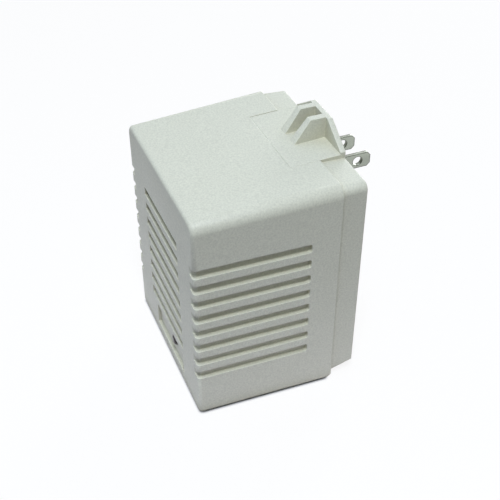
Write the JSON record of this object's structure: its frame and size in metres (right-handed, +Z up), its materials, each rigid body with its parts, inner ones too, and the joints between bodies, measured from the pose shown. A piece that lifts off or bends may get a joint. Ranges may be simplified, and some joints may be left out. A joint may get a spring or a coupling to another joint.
{
  "type": "plug-in power supply",
  "caption": "Plug-in transformer power supply: grooved plastic case with flat wall blades, a screw tab on top, a lamp hole in front and output terminals in the base.",
  "frame": {"origin": "middle of the base, on its flat underside, half way between the front face and the wall face", "axes": "+X across the width, +Y towards the wall and the blades, +Z up"},
  "size_m": [0.0762, 0.0823, 0.1007],
  "materials": {
    "case_plastic": "fine moulded texture, off-white",
    "blade_metal": "nickel-plated brass, rolled",
    "clamp_plastic": "moulded black",
    "screw_steel": "zinc-plated",
    "core_steel": "varnished laminations",
    "bobbin_plastic": "natural nylon",
    "winding_wire": "enamelled copper wire",
    "tape_film": "yellow polyester tape",
    "cutout_sleeve": "white sleeve",
    "black_insulation": "black wire insulation",
    "white_insulation": "white wire insulation",
    "red_insulation": "red wire insulation",
    "board_laminate": "paper laminate board",
    "capacitor_sleeve": "shrink sleeve, dark blue",
    "black_epoxy": "moulded epoxy",
    "fuse_coating": "dipped coating",
    "sink_aluminium": "extruded, plain",
    "resistor_coating": "tan lacquer, no bands",
    "lamp_resin": "red tinted resin, unlit",
    "terminal_plastic": "moulded black",
    "contact_brass": "stamped brass"
  },
  "bodies": {
    "root": {"front_shell": "case_plastic", "back_cover": "case_plastic", "blade_live": "blade_metal", "blade_neutral": "blade_metal", "blade_clamp": "clamp_plastic", "clamp_screws": "screw_steel", "cover_screws": "screw_steel", "core_e_stack": "core_steel", "core_i_stack": "core_steel", "transformer_screws": "screw_steel", "bobbin": "bobbin_plastic", "primary_winding": "winding_wire", "secondary_winding": "winding_wire", "winding_tape": "tape_film", "thermal_cutout": "cutout_sleeve", "live_lead": "black_insulation", "neutral_lead": "white_insulation", "secondary_leads": "red_insulation", "output_leads": "red_insulation", "circuit_board": "board_laminate", "board_screws": "screw_steel", "filter_capacitor": "capacitor_sleeve", "output_capacitor": "capacitor_sleeve", "bridge_rectifier": "black_epoxy", "voltage_regulator": "black_epoxy", "resettable_fuse": "fuse_coating", "heatsink": "sink_aluminium", "regulator_screw": "screw_steel", "lamp_resistor": "resistor_coating", "indicator_lamp": "lamp_resin", "terminal_block": "terminal_plastic", "terminal_contacts": "contact_brass", "terminal_screws": "screw_steel"}
  },
  "joints": []
}
